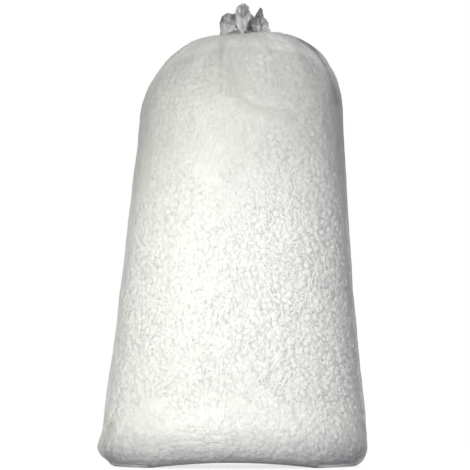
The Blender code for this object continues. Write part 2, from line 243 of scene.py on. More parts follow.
# How opaque the film is everywhere, and what each of these adds
CLEAR_HAZE = 0.34
SLACK_HAZE, CLOUD_HAZE, SHADE_HAZE, GRAZING_HAZE = 0.32, 0.16, 0.15, 0.55

# The lamps: name, place, aim, size, watts, colour, and whether they show in shiny surfaces
LAMPS = (
    ("key_light", (-1.35, -3.75, 0.82), (-0.03, 0, 0.45), 1.5, 117, (0.99, 1.0, 0.95), True),
    ("fill_light", (1.2, -4.4, 0.50), (0.08, 0, 0.40), 2.0, 70, (0.94, 0.93, 1.0), True),
    ("top_light", (0.6, 0.2, 3.6), (0, 0, 0.8), 2.0, 24, (0.98, 0.98, 1.0), True),
    ("back_light", (-0.3, 4.6, 0.7), (0, 0, 0.6), 1.3, 200, (1.0, 1.0, 0.97), False),
)
WORLD_LIGHT = 0.19
FLOOR_SIZE = 20.0


def blend(low, high, share):
    return low + (high - low) * share


def smooth(share):
    share = np.clip(share, 0.0, 1.0)
    return share * share * (3 - 2 * share)


def quarter(share):
    return np.sqrt(1 - (1 - np.clip(share, 0.0, 1.0)) ** 2)


# The sack's outline


def body_share(z):
    return np.clip((z - CORNER_HEIGHT) / (SHOULDER_HEIGHT - CORNER_HEIGHT), 0.0, 1.0)


def half_width(z):
    if z < CORNER_HEIGHT:
        return blend(FOOT_WIDTH, CORNER_WIDTH, quarter(z / CORNER_HEIGHT)) / 2
    share = body_share(z)
    low = np.clip((z - CORNER_HEIGHT) / (LENS_TOP - CORNER_HEIGHT), 0.0, 1.0)
    straight = blend(CORNER_WIDTH, SHOULDER_WIDTH, share) / 2 + BASE_FULLNESS * np.sin(math.pi * low)
    return straight - WAIST_HOLLOW * np.sin(math.pi * share)


def half_depth(z):
    if z < ROUNDING_HEIGHT:
        return blend(FOOT_DEPTH, BODY_DEPTH, quarter(z / ROUNDING_HEIGHT)) / 2
    share = min((z - ROUNDING_HEIGHT) / (SHOULDER_HEIGHT - ROUNDING_HEIGHT), 1.0)
    return blend(BODY_DEPTH, SHOULDER_DEPTH, share) / 2


def centre(z):
    if z <= SHOULDER_HEIGHT:
        share = body_share(z)
        return blend(BASE_SHIFT, SHOULDER_SHIFT, share) - LEAN_BOW * np.sin(math.pi * share)
    return blend(SHOULDER_SHIFT, NECK_SHIFT, smooth((z - SHOULDER_HEIGHT) / DOME_HEIGHT))


def arch(x):
    reach = np.minimum(np.abs(x) / ARCH_HALF_SPAN, 1.0)
    return ARCH_HEIGHT * (1 - reach * reach)


class Film:
    """The sack's film as rows of points, from the middle of the base to the mouth's edge."""

    def __init__(self, columns):
        rng = np.random.default_rng(SEED)
        self.columns = columns
        self.angle = 2 * math.pi * np.arange(columns) / columns
        self.cos, self.sin = np.cos(self.angle), np.sin(self.angle)
        folds = rng.uniform(1 - PLEAT_SPREAD, 1 + PLEAT_SPREAD, PLEATS)
        turn = self.angle / (2 * math.pi) * PLEATS
        near = np.round(turn).astype(int) % PLEATS
        between = (np.floor(turn).astype(int)) % PLEATS
        self.fold = folds[between]
        self.pleat_wave = 0.5 - 0.5 * np.cos(2 * math.pi * turn)
        self.fine_wave = 0.5 + 0.5 * np.sin(2 * math.pi * turn * 3 + folds[near] * 5)

    def pleats(self, depth):
        return 1 - depth * self.fold * self.pleat_wave * (1 + FINE_PLEAT * self.fine_wave)

    def section(self, z, width, depth, scale=1.0):
        ends = blend(LENS_POWER, ROUND_POWER, smooth(z / LENS_TOP))
        sides = blend(BOX_POWER, CIRCLE_POWER, smooth((z - SHOULDER_HEIGHT) / DOME_HEIGHT))
        size = np.maximum(1 - np.minimum(np.abs(self.cos), 1.0) ** sides, 0.0) ** ends
        x = centre(z) + width * scale * self.cos
        y = depth * scale * np.copysign(size, self.sin)
        return np.stack([x, y, np.full_like(x, z)], axis=1)

    def base(self):
        rows = []
        for scale in np.linspace(0.06, 1.0, BASE_ROWS):
            ring = self.section(0.0, FOOT_WIDTH / 2 * scale, FOOT_DEPTH / 2 * scale)
            ring[:, 2] = arch(ring[:, 0])
            rows.append(ring)
        return rows

    def rounding(self):
        rows = []
        for share in np.linspace(0.0, 1.0, ROUNDING_ROWS + 1)[1:]:
            z = ROUNDING_HEIGHT * share**FOOT_CROWDING
            ring = self.section(z, half_width(z), half_depth(z))
            pinch = max(1 - abs(z - CORNER_HEIGHT) / CORNER_HEIGHT, 0.0)
            out = ring[:, 0] - centre(z)
            near_end = np.exp(-(((half_width(z) - np.abs(out)) / EAR_SPREAD) ** 2))
            ear = np.where(out > 0, RIGHT_EAR, -LEFT_EAR) * near_end**4
            ring[:, 0] += ear * pinch
            notch = EAR_NOTCH * math.exp(-(((z - NOTCH_HEIGHT) / NOTCH_SPREAD) ** 2))
            ring[:, 0] += np.where(out < 0, notch, 0) * near_end**4
            ring[:, 2] += arch(ring[:, 0]) * (1 - smooth(z / ROUNDING_HEIGHT))
            rows.append(ring)
        return rows

    def body(self):
        heights = np.linspace(ROUNDING_HEIGHT, SHOULDER_HEIGHT, BODY_ROWS + 1)[1:]
        return [self.section(z, half_width(z), half_depth(z)) for z in heights]

    def dome(self):
        rows = []
        side = (1 + self.cos) / 2
        for degrees in np.linspace(0, DOME_END, DOME_ROWS + 1)[1:]:
            angle = math.radians(degrees)
            left = blend(LEFT_DOME_POWER, LEFT_ROOF_POWER, math.sin(angle) ** 2)
            power = blend(left, RIGHT_DOME_POWER, side)
            rise = DOME_HEIGHT * math.sin(angle)
            pleat = DOME_PLEAT * smooth((rise - PLEAT_START) / (DOME_HEIGHT - PLEAT_START))
            pleat = pleat * (1 - FRONT_SMOOTH * smooth(0.2 - self.sin))
            scale = math.cos(angle) ** power * self.pleats(pleat)
            z = SHOULDER_HEIGHT + rise
            ring = self.section(z, SHOULDER_WIDTH / 2, SHOULDER_DEPTH / 2, scale)
            ring[:, 2] -= LEFT_SINK * (1 - side) * math.sin(angle)
            rows.append(ring)
        return rows

    def knot(self):
        rows = []
        top = SHOULDER_HEIGHT + DOME_HEIGHT
        rises, sizes = zip(*KNOT_RINGS)
        for share in np.linspace(0, 1, KNOT_ROWS):
            radius = NECK_RADIUS * np.interp(share, rises, sizes)
            scale = np.roll(self.pleats(NECK_PLEAT), int(self.columns / 56 * 5 * (1 - share)))
            rows.append(self.section(top + NECK_RISE * share, radius, radius, scale))
        return rows

    def mouth(self):
        degrees = np.degrees(self.angle)
        weights = []
        for direction, spread, *_ in MOUTH_LOBES:
            turn = (degrees - direction + 180) % 360 - 180
            weights.append(1 / (1 + (turn / spread) ** 4))
        weights = np.array(weights) / np.sum(weights, axis=0)
        sizes = np.array([lobe[2:] for lobe in MOUTH_LOBES])
        height, billow, reach = (weights.T @ sizes).T
        aside = np.abs(degrees - MOUTH_LOBES[FLAP][0]) / MOUTH_LOBES[FLAP][1]
        height += FLAP_POINT * np.minimum(aside, 1) * weights[FLAP]
        height -= HEM_DROP * smooth(-height / HEM_EASE)
        rows = []
        for share in np.linspace(0, 1, MOUTH_ROWS + 1)[1:]:
            depth = blend(NECK_PLEAT, MOUTH_PLEAT, share) * (1 - FLAP_SMOOTH * weights[FLAP])
            radius = blend(NECK_RADIUS, reach, math.sin(share * math.pi / 2)) * self.pleats(depth)
            z = SHOULDER_HEIGHT + DOME_HEIGHT + NECK_RISE
            z = z + height * share + 4 * billow * share * (1 - share)
            rows.append(np.stack([NECK_SHIFT + radius * self.cos, radius * self.sin, z], axis=1))
        return rows + self.tuck(rows[-1], smooth((-DROOP_START - height) / DROOP_EASE))

    def tuck(self, hem, droop):
        """Drooping lobes run on from the hem down to the dome, and the others roll in."""
        reach = np.hypot(hem[:, 0] - NECK_SHIFT, hem[:, 1]) * (1 + RIGHT_FOOT * smooth(self.cos))
        dome = np.array(self.dome())
        radii = np.hypot(dome[:, :, 0] - NECK_SHIFT, dome[:, :, 1])
        heights = [
            np.interp(reach[i], radii[::-1, i], dome[::-1, i, 2]) for i in range(self.columns)
        ]
        heights = np.minimum(heights, hem[:, 2])
        foot = np.stack([NECK_SHIFT + reach * self.cos, reach * self.sin, heights], axis=1)
        inward = hem - np.stack([self.cos, self.sin, self.cos * 0], axis=1) * HEM_ROLL
        rows = []
        for share in np.linspace(0, 1, TUCK_ROWS + 1)[1:]:
            rows.append(blend(blend(hem, inward, share), blend(hem, foot, share), droop[:, None]))
        return rows


def spike_rings():
    """The folded spike as closed rings of points, from its foot to its tip."""
    turn = 2 * math.pi * np.arange(SPIKE_COLUMNS) / SPIKE_COLUMNS
    rings = []
    for share in np.linspace(0, 1, SPIKE_ROWS):
        middle = blend(np.array(SPIKE_FOOT), np.array(SPIKE_TIP), share)
        narrow = 1.02 - share
        fold = 1 + SPIKE_FOLD * np.cos(3 * turn + 1.0)
        ring = np.zeros((SPIKE_COLUMNS, 3)) + middle
        ring[:, 0] += SPIKE_WIDE * narrow**0.7 * np.cos(turn)
        ring[:, 1] += SPIKE_THICK * narrow**0.5 * np.sin(turn) * fold
        rings.append(ring)
    return np.array(rings)


def mesh_object(name, points, faces, smooth_shaded=True):
    mesh = bpy.data.meshes.new(name)
    mesh.from_pydata(points, [], faces)
    if smooth_shaded:
        mesh.shade_smooth()
    made = bpy.data.objects.new(name, mesh)
    bpy.context.scene.collection.objects.link(made)
    return made


def numpy_mesh_object(name, points, quads):
    """A mesh of four-sided faces straight from arrays, for the many chips."""
    mesh = bpy.data.meshes.new(name)
    mesh.vertices.add(len(points))
    mesh.vertices.foreach_set("co", points.astype(np.float32).ravel())
    mesh.loops.add(quads.size)
    mesh.loops.foreach_set("vertex_index", quads.astype(np.int32).ravel())
    mesh.polygons.add(len(quads))
    mesh.polygons.foreach_set("loop_start", np.arange(0, quads.size, 4, dtype=np.int32))
    mesh.update(calc_edges=True)
    made = bpy.data.objects.new(name, mesh)
    bpy.context.scene.collection.objects.link(made)
    return made


def grid_faces(rows, columns):
    faces = []
    for row in range(rows - 1):
        low, high = row * columns, (row + 1) * columns
        for column in range(columns):
            after = (column + 1) % columns
            faces.append((low + column, low + after, high + after, high + column))
    return faces


def grid_normals(grid):
    """Outward normals of rows of points that close round in each row."""
    along = np.roll(grid, -1, axis=1) - np.roll(grid, 1, axis=1)
    up = np.gradient(grid, axis=0)
    normal = np.cross(along, up)
    return normal / np.maximum(np.linalg.norm(normal, axis=2, keepdims=True), 1e-9)


def noise_field(points, scale, seed):
    """Smooth noise from -1 to 1 at points scaled by this many cells a metre."""
    shift = Vector((seed * 7.3, seed * 3.1, seed * 5.7))
    flat = points.reshape(-1, 3) * scale
    values = [noise.noise(Vector(point) + shift) for point in flat]
    return np.array(values).reshape(points.shape[:-1])


def beside_line(points, line, width):
    """From 1 on a line in x and z down to 0 well beside it. The back has the front's mirrored."""
    place = np.stack([np.where(points[..., 1] < 0, 1, -1) * points[..., 0], points[..., 2]], axis=-1)
    nearest = np.full(place.shape[:-1], 9.0)
    for start, end in zip(line, line[1:]):
        start, run = np.array(start), np.array(end) - np.array(start)
        share = np.clip(((place - start) @ run) / (run @ run), 0, 1)
        gap = np.linalg.norm(place - start - share[..., None] * run, axis=-1)
        nearest = np.minimum(nearest, gap)
    return np.exp(-((nearest / width) ** 2)) * smooth(np.abs(points[..., 1]) / SIDE_FADE)


def film_haze_and_painted_light(points):
    """How far the film stands off the chips, from 0 to 1, which clouds it and, partly as painted shade,
    greys it; it drops along painted highlights of the wrinkles.
    """
    cloud = HAZE_AMOUNT * smooth((points[:, 2] - HAZE_FOOT) / (HAZE_TOP - HAZE_FOOT))
    for line, width, amount in PATCHES:
        cloud += (1 - cloud) * amount * beside_line(points, line, width)
    return np.clip(cloud, 0, 1)


def film_painted_shade(points, normals):
    """Painted shade on the film, from 0 to 1, where it turns away to the sides and underneath, and over
    the right shoulder.
    """
    z = points[:, 2]
    sides = np.where(normals[:, 0] < 0, LEFT_SHADE, RIGHT_SHADE)
    sides = sides * np.abs(normals[:, 0]) ** SHADE_FALL * smooth((z - SIDE_LOW) / SIDE_EASE)
    under = UNDER_SHADE * (1 - smooth((z - UNDER_LOW) / UNDER_EASE))
    painted_shade = np.maximum(sides, under)
    flat = points * (1, 0, 1) - (0, 1, 0)  # the painted shade places run on over the back
    for line, width, amount in PAINTED_SHADE_LINES:
        painted_shade += (1 - painted_shade) * amount * beside_line(flat, line, width)
    return painted_shade


def tuft_painted_shade(film, knot_rows):
    """Painted shade on the gathered film, from 0 to 1, with less of it on the paler hem."""
    dark = np.interp(np.degrees(film.angle), TUFT_TURNS, TUFT_DARKS)
    up = np.linspace(0, 1, MOUTH_ROWS + 1)[1:, None]
    mouth = blend(KNOT_DARK, dark, smooth(up * 3)) * (1 - HEM_PALE * smooth((up - HEM_START) / HEM_EDGE))
    front = smooth((-0.55 - film.sin) / 0.2)
    tuck = np.repeat(blend(TUCK_DARK, HOLLOW_DARK, front)[None], TUCK_ROWS, axis=0)
    return np.vstack([np.full((knot_rows, film.columns), KNOT_DARK), mouth, tuck])


def film_rows(film):
    """All rows of the film, and which row the knot begins at and which the mouth."""
    body = film.base() + film.rounding() + film.body() + film.dome()
    knot, mouth = film.knot(), film.mouth()
    return np.array(body + knot + mouth), len(body), len(body) + len(knot)


def uneven(points, layers):
    """Heights at points from layers of noise, each with its cells to a metre, seed and height."""
    return sum(noise_field(points, cells, seed) * height for cells, seed, height in layers)


def neck_creases(film, grid):
    """Creases that fan out from the neck over the dome."""
    rng = np.random.default_rng(SEED + 1)
    angle = film.angle[None, :]
    rise = (grid[:, :, 2] - SHOULDER_HEIGHT + CREASE_ROOM) / (DOME_HEIGHT + CREASE_ROOM)
    rise = np.clip(rise, 0, 1)
    heights = np.zeros(rise.shape)
    for _ in range(NECK_CREASES):
        at = rng.uniform(0, 2 * math.pi)
        lean = rng.normal(0, CREASE_LEAN)
        width = rng.uniform(*CREASE_WIDTHS)
        start = rng.uniform(*CREASE_STARTS)
        depth = rng.uniform(-CREASE_DEPTH, CREASE_DEPTH)
        turn = (angle - at - lean * (1 - rise) + math.pi) % (2 * math.pi) - math.pi
        heights += depth * np.exp(-((turn / width) ** 2)) * smooth((rise - start) / CREASE_EASE)
    return heights


def mouth_crumples(film, mouth):
    """How far the mouth's film is pushed in or out, least by the knot and on the flap."""
    up = np.linspace(0, 1, len(mouth))[:, None]
    aside = (np.degrees(film.angle) - MOUTH_LOBES[FLAP][0]) / FLAP_CALM_SPREAD
    return uneven(mouth, CRUMPLES) * smooth(up * 3) * (1 - FLAP_CALM * np.exp(-(aside**2)))


def film_relief(film, grid, first_knot, first_mouth):
    """How far every point of the film lies off its smooth shape."""
    relief = uneven(grid, SOFT_BUMPS) * smooth(grid[:, :, 2] / BUMPS_START)
    relief += neck_creases(film, grid)
    for line, height, width in CREASES:
        relief += height * beside_line(grid, line, width)
    relief[first_knot:] = 0
    relief[first_mouth:] = mouth_crumples(film, grid[first_mouth:])
    return relief


def film_faces(rows, first_knot):
    """The faces of the film and then of the spike, and which of them are gathered film."""
    sides = grid_faces(rows, COLUMNS)
    pole = rows * COLUMNS
    base = [(pole, (column + 1) % COLUMNS, column) for column in range(COLUMNS)]
    start = pole + 1
    spike = [tuple(start + i for i in face) for face in grid_faces(SPIKE_ROWS, SPIKE_COLUMNS)]
    tip = start + (SPIKE_ROWS - 1) * SPIKE_COLUMNS
    spike.append(tuple(range(tip, tip + SPIKE_COLUMNS)))
    plain = first_knot * COLUMNS
    gathered = [0] * plain + [1] * (len(sides) - plain) + [0] * len(base) + [1] * len(spike)
    return sides + base + spike, gathered


def paint(piece, name, values):
    layer = piece.data.attributes.new(name, "FLOAT", "POINT")
    layer.data.foreach_set("value", values.astype(np.float32))


def film_piece():
    film = Film(COLUMNS)
    grid, first_knot, first_mouth = film_rows(film)
    normals = grid_normals(grid)
    grid += normals * film_relief(film, grid, first_knot, first_mouth)[:, :, None]
    spike = spike_rings()
    spike += grid_normals(spike) * uneven(spike, [SPIKE_CRUMPLE])[:, :, None]

    points = np.vstack([grid.reshape(-1, 3), grid[0].mean(axis=0), spike.reshape(-1, 3)])
    facing = [normals.reshape(-1, 3), (0, 0, -1), grid_normals(spike).reshape(-1, 3)]
    faces, gathered = film_faces(len(grid), first_knot)
    piece = mesh_object("film_sack", points.tolist(), faces)

    pole = len(grid) * COLUMNS
    # Painted shade: grey film at the sides, underneath and over the right shoulder, and darker gathered
    # film over the knot, mouth and spike
    painted_shade = film_painted_shade(points, np.vstack(facing))
    painted_shade[first_knot * COLUMNS : pole] = tuft_painted_shade(film, first_mouth - first_knot).ravel()
    painted_shade[pole + 1 :] = SPIKE_DARK
    # The haze mark greys the film partly as painted shade, and clears it along the wrinkles as painted
    # highlights
    paint(piece, "haze_and_painted_light", film_haze_and_painted_light(points))
    paint(piece, "painted_shade", painted_shade)
    piece.data.materials.append(film_material())
    piece.data.materials.append(gathered_material())
    piece.data.polygons.foreach_set("material_index", gathered)
    return piece


# Chips


def chip_line(kind, curl, steps):
    """The centre line of a chip, and the directions across it."""
    if kind == "s":
        turns = np.radians(np.linspace(0, 270, steps + 1))
        upper = np.stack([np.cos(turns), 1 + np.sin(turns)], axis=1) * curl
        across = np.stack([np.cos(turns), np.sin(turns)], axis=1)
        line = np.vstack([upper, -upper[-2::-1]])
        across = np.vstack([across, across[-2::-1]])
        return line, across
    turns = np.radians(np.linspace(-130, 130, steps + 1))
    across = np.stack([np.cos(turns), np.sin(turns)], axis=1)
    return across * curl, across


def chip_shape(kind, curl, wall, depth, steps):
    """Points and four-sided faces of one curled chip round its own middle."""
    line, across = chip_line(kind, curl, steps)
    points = []
    for place, side in zip(line, across):
        for offset in (-wall / 2, wall / 2):
            for z in (-depth / 2, depth / 2):
                points.append((*(place + side * offset), z))
    quads = []
    for i in range(len(line) - 1):
        a, b = 4 * i, 4 * i + 4
        quads += [(a, b, b + 1, a + 1), (a + 2, a + 3, b + 3, b + 2)]
        quads += [(a, a + 2, b + 2, b), (a + 1, b + 1, b + 3, a + 3)]
    last = 4 * (len(line) - 1)
    quads += [(0, 1, 3, 2), (last, last + 2, last + 3, last + 1)]
    return np.array(points), np.array(quads)


def chip_shapes(steps):
    wall, curl, depth = CHIP_WALL, CHIP_CURL, CHIP_DEPTH
    return [
        chip_shape("s", curl, wall, depth, steps),
        chip_shape("s", curl * 1.12, wall * 0.92, depth * 1.1, steps),
        chip_shape("s", curl * 0.92, wall * 1.05, depth * 0.85, steps),
        chip_shape("c", curl * 1.5, wall, depth, steps * 2),
    ]


def unit(vectors):
    return vectors / np.linalg.norm(vectors, axis=-1, keepdims=True)


def tilts(count, rng):
    """Rotation matrices that tilt most chips a little and some a lot."""
    spread = np.where(rng.random(count) < LOOSE_SHARE, LOOSE_TILT, TILT)
    half = rng.normal(0, spread) / 2
    axis = unit(rng.normal(size=(count, 3)))
    w = np.cos(half)
    x, y, z = (axis * np.sin(half)[:, None]).T
    rows = [
        [1 - 2 * (y * y + z * z), 2 * (x * y - z * w), 2 * (x * z + y * w)],
        [2 * (x * y + z * w), 1 - 2 * (x * x + z * z), 2 * (y * z - x * w)],
        [2 * (x * z - y * w), 2 * (y * z + x * w), 1 - 2 * (x * x + y * y)],
    ]
    return np.moveaxis(np.array(rows), 2, 0)


def lying_turns(normals, rng):
    """Rotation matrices of chips pressed against the film, with their face, side or end to it."""
    count = len(normals)
    along = unit(np.cross(normals, rng.normal(size=(count, 3))))
    across = np.cross(normals, along)
    face = np.stack([along, across, normals], axis=2)
    side = np.stack([normals, along, across], axis=2)
    end = np.stack([across, normals, along], axis=2)
    pick = rng.choice(3, count, p=LYING)
    turns = np.choose(pick[:, None, None], [face, side, end])
    return tilts(count, rng) @ turns


def random_points(mesh, spacing, rng):
    """Points over a mesh at random, many more than there is room for at this spacing."""
    mesh.calc_loop_triangles()
    co = np.empty(len(mesh.vertices) * 3)
    mesh.vertices.foreach_get("co", co)
    co = co.reshape(-1, 3)
    corners = np.empty(len(mesh.loop_triangles) * 3, dtype=np.int32)
    mesh.loop_triangles.foreach_get("vertices", corners)
    a, b, c = (co[corners.reshape(-1, 3)[:, i]] for i in range(3))
    area = np.linalg.norm(np.cross(b - a, c - a), axis=1) / 2
    count = int(area.sum() / spacing**2 * TRIES)
    pick = rng.choice(len(area), count, p=area / area.sum())
    u, v = rng.random(count), rng.random(count)
    flip = u + v > 1
    u[flip], v[flip] = 1 - u[flip], 1 - v[flip]
    return a[pick] + (b - a)[pick] * u[:, None] + (c - a)[pick] * v[:, None]


def spread_points(obj, spacing, rng):
    """Points over an object's surface, no two nearer than the spacing."""
    points = random_points(obj.data, spacing, rng)
    keys = np.floor(points / spacing).astype(int)
    around = list(itertools.product((-1, 0, 1), repeat=3))
    cells, kept = {}, []
    for point, key in zip(points.tolist(), keys.tolist()):
        cell = tuple(key)
        beside = (cells.get(tuple(map(sum, zip(cell, step))), ()) for step in around)
        others = itertools.chain.from_iterable(beside)
        if all(math.dist(point, other) >= spacing for other in others):
            cells.setdefault(cell, []).append(point)
            kept.append(point)
    return np.array(kept)


def outward(points, tree):
    """The film's own outward direction nearest each point, and how far off it is."""
    normals, gaps = [], []
    for point in points:
        _, normal, _, gap = tree.find_nearest(Vector(point))
        middle = centre(min(point[2], AXIS_TOP))
        axis = Vector((middle, 0, min(max(point[2], AXIS_LOW), AXIS_HIGH)))
        if normal.dot(Vector(point) - axis) < 0:
            normal = -normal
        normals.append(normal)
        gaps.append(gap)
    return np.array(normals), np.array(gaps)


def lay_chips(points, tree, depth, shapes, rng):
    """Chips against the film, each pushed out until it meets the layer's surface."""
    normals, gaps = outward(points, tree)
    bridged = BRIDGE * np.clip(gaps - FILM_ROOM, 0, DEEPEST_BRIDGE)
    kinds = rng.choice(len(shapes), len(points), p=KIND_SHARES)
    laid = []
    for kind, (shape, quads) in enumerate(shapes):
        chosen = kinds == kind
        turns = lying_turns(normals[chosen], rng)
        scale = rng.uniform(*CHIP_SCALES, chosen.sum())[:, None, None]
        turned = np.einsum("nij,vj->nvi", turns, shape) * scale
        turned += rng.normal(0, CHIP_ROUGHNESS, turned.shape)
        reach = np.einsum("nvi,ni->nv", turned, normals[chosen]).max(axis=1)
        shift = depth + bridged[chosen] - reach - rng.uniform(0, CHIP_SINK, chosen.sum())
        shift -= EDGE_SINK * (1 - smooth(points[chosen, 2] / EDGE_HEIGHT))
        place = points[chosen] + normals[chosen] * shift[:, None]
        lowest = (turned[:, :, 2] + place[:, None, 2]).min(axis=1)
        place[:, 2] += np.maximum(FLOOR_ROOM - lowest, 0)
        laid.append((turned + place[:, None, :], quads))
    return laid


def chip_pieces(laid_layers):
    """Joins the chips into a few pieces by height."""
    heights = np.concatenate([co[:, :, 2].mean(axis=1) for co, _ in laid_layers])
    weights = np.concatenate([np.full(len(co), len(quads)) for co, quads in laid_layers])
    order = np.argsort(heights)
    share = np.cumsum(weights[order]) / weights.sum()
    edges = [heights[order][np.searchsorted(share, i / CHIP_BANDS)] for i in range(1, CHIP_BANDS)]
    pieces = []
    for band in range(CHIP_BANDS):
        points, faces, start = [], [], 0
        for co, quads in laid_layers:
            inside = np.searchsorted(edges, co[:, :, 2].mean(axis=1)) == band
            chosen = co[inside]
            if not len(chosen):
                continue
            size = chosen.shape[1]
            firsts = start + size * np.arange(len(chosen))
            faces.append((quads[None] + firsts[:, None, None]).reshape(-1, 4))
            points.append(chosen.reshape(-1, 3))
            start += size * len(chosen)
        made = numpy_mesh_object(f"foam_chips_{band + 1}", np.vstack(points), np.vstack(faces))
        pieces.append(made)
    return pieces


def core_piece(fill, tree):
    """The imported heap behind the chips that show."""
    piece = fill.copy()
    piece.data = fill.data.copy()
    piece.name = "heap_core"
    piece.parent = None
    bpy.context.scene.collection.objects.link(piece)
    co = np.empty(len(piece.data.vertices) * 3)
    piece.data.vertices.foreach_get("co", co)
    co = co.reshape(-1, 3)
    co -= outward(co, tree)[0] * CORE_DEPTH
    piece.data.vertices.foreach_set("co", co.ravel())
    piece.data.materials.clear()
    piece.data.update()
    return piece


# Materials


class Nodes:
    """A short way to write a node tree."""

    def __init__(self, name):
        self.material = bpy.data.materials.new(name)
        self.material.use_nodes = True
        self.tree = self.material.node_tree
        self.shader = self.tree.nodes["Principled BSDF"]

    def add(self, kind, inputs=None, **settings):
        node = self.tree.nodes.new(kind)
        for key, value in settings.items():
            setattr(node, key, value)
        for key, value in (inputs or {}).items():
            self.put(value, node.inputs[key])
        return node

    def put(self, value, socket):
        if isinstance(value, bpy.types.NodeSocket):
            self.tree.links.new(value, socket)
        else:
            socket.default_value = value

    def set(self, **values):
        for key, value in values.items():
            self.put(value, self.shader.inputs[key.replace("_", " ")])

    def noise(self, scale, detail, **inputs):
        if "Vector" not in inputs:
            inputs["Vector"] = self.add("ShaderNodeTexCoord").outputs["Object"]
        inputs = {"Scale": scale, "Detail": detail, **inputs}
        return self.add("ShaderNodeTexNoise", inputs).outputs["Fac"]

    def ramp(self, value, *stops):
        node = self.add("ShaderNodeValToRGB", {"Fac": value})
        points = node.color_ramp.elements
        while len(points) < len(stops):
            points.new(0.5)
        for point, (place, colour) in zip(points, stops):
            point.position = place
            point.color = colour if len(colour) == 4 else (*colour, 1.0)
        return node.outputs["Color"]

    def mix(self, share, first, second):
        node = self.add("ShaderNodeMix", data_type="RGBA")
        for index, value in ((0, share), (6, first), (7, second)):
            self.put(value, node.inputs[index])
        return node.outputs[2]

    def math(self, operation, a, b=0.0, c=0.0):
        node = self.add("ShaderNodeMath", operation=operation)
        for index, value in enumerate((a, b, c)):
            self.put(value, node.inputs[index])
        return node.outputs["Value"]

    def painted(self, name):
        """A value that the mesh carries at each point."""
        kind = {"attribute_name": name, "attribute_type": "GEOMETRY"}
        return self.add("ShaderNodeAttribute", **kind).outputs["Fac"]

    def bump(self, height, strength, distance):
        inputs = {"Height": height, "Strength": strength, "Distance": distance}
        return self.add("ShaderNodeBump", inputs).outputs["Normal"]


def foam_material():
    n = Nodes("white_foam_beads")
    tone = n.noise(35.0, 3.0)
    colour = n.ramp(tone, (0.3, (0.925, 0.93, 0.89)), (0.7, (0.965, 0.97, 0.935)))
    place = n.add("ShaderNodeTexCoord").outputs["Object"]
    beads = n.add("ShaderNodeTexVoronoi", {"Vector": place, "Scale": 420.0})
    normal = n.bump(beads.outputs["Distance"], 0.25, 0.0004)
    n.set(Base_Color=colour, Roughness=0.62, Normal=normal, Specular_IOR_Level=0.35)
    n.set(Subsurface_Weight=0.7, Subsurface_Radius=(1.0, 1.0, 0.95), Subsurface_Scale=0.0065)
    return n.material


def core_material():
    n = Nodes("shaded_foam")
    tone = n.noise(60.0, 3.0)
    colour = n.ramp(tone, (0.35, (0.90, 0.90, 0.87)), (0.65, (0.97, 0.97, 0.95)))
    n.set(Base_Color=colour, Roughness=0.8, Normal=n.bump(tone, 0.6, 0.01))
    return n.material


def film_material():
    n = Nodes("clear_hazy_film")
    haze_and_painted_light, painted_shade = n.painted("haze_and_painted_light"), n.painted("painted_shade")
    cloud = n.noise(7.0, 3.0)
    wrinkle = n.noise(60.0, 4.0, Roughness=0.6, Distortion=0.8)
    # Where the film stands off the chips it clouds milky and, partly as painted shade, greyer; the
    # lowest values of that mark are painted highlights along the wrinkles
    clear, milky, milkiest = (0.93, 0.94, 0.90), (0.68, 0.69, 0.65), (0.58, 0.59, 0.55)
    tone = n.ramp(haze_and_painted_light, (0.0, clear), (0.5, milky), (1.0, milkiest))
    grazing = n.add("ShaderNodeLayerWeight", {"Blend": 0.3}).outputs["Facing"]
    haze = n.math("MULTIPLY_ADD", haze_and_painted_light, SLACK_HAZE, CLEAR_HAZE)
    haze = n.math("MULTIPLY_ADD", cloud, CLOUD_HAZE, haze)
    haze = n.math("MULTIPLY_ADD", painted_shade, SHADE_HAZE, haze)
    haze = n.math("MULTIPLY_ADD", n.math("POWER", grazing, 3.0), GRAZING_HAZE, haze)
    rough = n.math("MULTIPLY_ADD", cloud, 0.20, 0.36)
    rough = n.math("MULTIPLY_ADD", painted_shade, 0.40, rough)
    # Painted shade mixes the film's colour towards a lilac near black at its sides, underneath and over
    # the right shoulder
    n.set(Base_Color=n.mix(painted_shade, tone, (0.045, 0.045, 0.10, 1.0)), Roughness=rough, Alpha=haze)
    n.set(Normal=n.bump(wrinkle, 0.2, 0.003), Specular_IOR_Level=0.5)
    return n.material


def gathered_material():
    """Film in many layers, where it is knotted and crumpled: greyer, with sharp folds, whose dark places
    are painted shade.
    """
    n = Nodes("gathered_film")
    place = n.add("ShaderNodeTexCoord").outputs["Object"]
    along = n.add("ShaderNodeMapping", {"Vector": place, "Scale": (1.0, 1.0, 0.45)})
    folds = n.noise(60.0, 2.0, Vector=along.outputs["Vector"], Roughness=0.5, Distortion=0.8)
    pale = n.ramp(folds, (0.36, (0.48, 0.48, 0.49)), (0.60, (0.72, 0.72, 0.72)))
    low, middle, high = (0.05, 0.05, 0.055), (0.12, 0.12, 0.125), (0.28, 0.28, 0.285)
    # Painted shade: near black in the folds, mixed in where the mesh's painted shade says
    dark = n.ramp(folds, (0.36, low), (0.50, middle), (0.66, high))
    n.set(Base_Color=n.mix(n.painted("painted_shade"), pale, dark), Roughness=0.34)
    n.set(Alpha=n.math("MULTIPLY_ADD", folds, -0.15, 0.92), Normal=n.bump(folds, 0.6, 0.005))
    n.set(Specular_IOR_Level=0.6)
    return n.material


